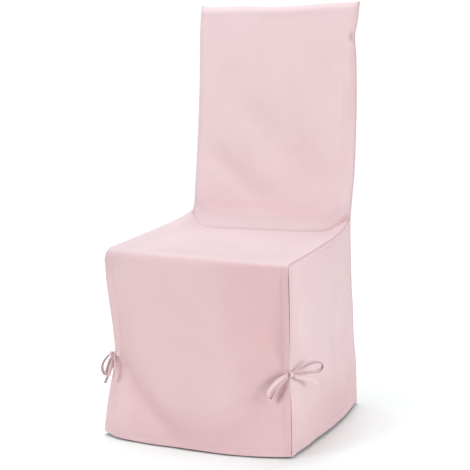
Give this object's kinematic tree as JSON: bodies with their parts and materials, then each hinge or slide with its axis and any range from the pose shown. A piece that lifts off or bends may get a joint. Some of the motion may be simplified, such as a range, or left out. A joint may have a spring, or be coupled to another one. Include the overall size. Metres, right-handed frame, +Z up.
{
  "type": "chair cover",
  "caption": "Fitted pink cotton cover for a high-backed dining chair: smooth seat, drop to the floor, full back, and open front corners tied with small bows.",
  "frame": {"origin": "on the floor under the middle of the whole cover's bounding box", "axes": "+Z up; -Y towards the chair's front; +X towards the front corner with the larger bow, at the right when seen from the front"},
  "size_m": [0.5288, 0.526, 0.9998],
  "materials": {
    "cotton": "matte plain-weave cotton, pale pink",
    "tape": "folded and stitched tape of the same pale pink cotton"
  },
  "bodies": {
    "root": {"seat_front_panel": "cotton", "right_side_panel": "cotton", "left_side_panel": "cotton", "inside_back_panel": "cotton", "outer_back_panel": "cotton", "tie_right_front": "tape", "tie_right_side": "tape", "tie_left_front": "tape", "tie_left_side": "tape"}
  },
  "joints": []
}
